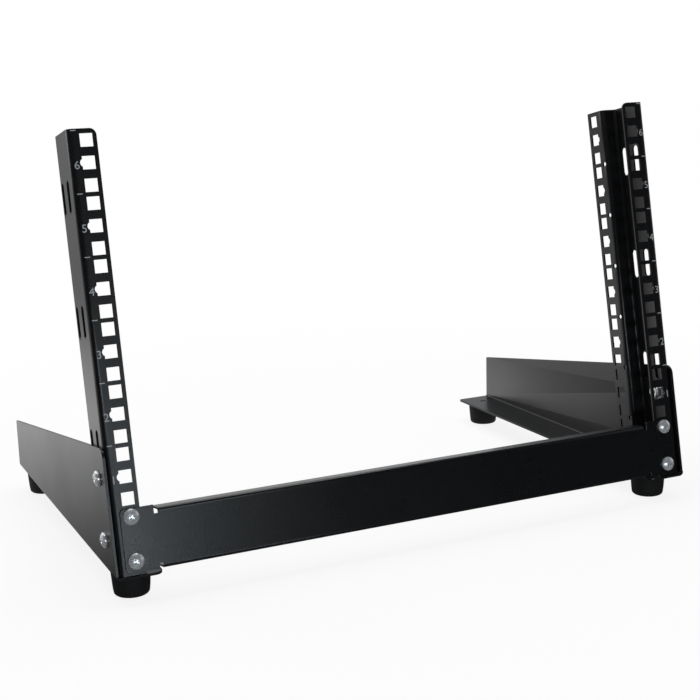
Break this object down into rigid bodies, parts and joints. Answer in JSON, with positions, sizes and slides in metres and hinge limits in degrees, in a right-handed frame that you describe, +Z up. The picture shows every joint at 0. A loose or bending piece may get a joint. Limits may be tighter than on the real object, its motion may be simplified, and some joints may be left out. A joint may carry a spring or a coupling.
{
  "type": "two post open frame rack",
  "caption": "Desktop two post open frame rack: leaning perforated posts on tapered side brackets, joined in front by a folded crossbar, on rubber feet.",
  "frame": {"origin": "on the desk, under the middle of the whole rack", "axes": "+X to the right, +Y to the back, +Z up; the posts lean towards +Y"},
  "size_m": [0.5038, 0.3236, 0.333],
  "materials": {
    "powder_coat": "satin black powder coat with a fine texture",
    "rubber": "matte black rubber",
    "zinc": "bright zinc plating"
  },
  "bodies": {
    "root": {"left_post": "powder_coat", "right_post": "powder_coat", "left_bracket": "powder_coat", "right_bracket": "powder_coat", "crossbar": "powder_coat", "front_left_foot": "rubber", "front_right_foot": "rubber", "rear_left_foot": "rubber", "rear_right_foot": "rubber", "front_left_foot_screw": "zinc", "front_right_foot_screw": "zinc", "rear_left_foot_screw": "zinc", "rear_right_foot_screw": "zinc", "lower_left_bar_screw": "zinc", "upper_left_bar_screw": "zinc", "lower_right_bar_screw": "zinc", "upper_right_bar_screw": "zinc", "lower_left_bar_nut": "zinc", "upper_left_bar_nut": "zinc", "lower_right_bar_nut": "zinc", "upper_right_bar_nut": "zinc", "lower_left_side_screw": "zinc", "upper_left_side_screw": "zinc", "lower_right_side_screw": "zinc", "upper_right_side_screw": "zinc", "lower_left_side_nut": "zinc", "upper_left_side_nut": "zinc", "lower_right_side_nut": "zinc", "upper_right_side_nut": "zinc"}
  },
  "joints": []
}
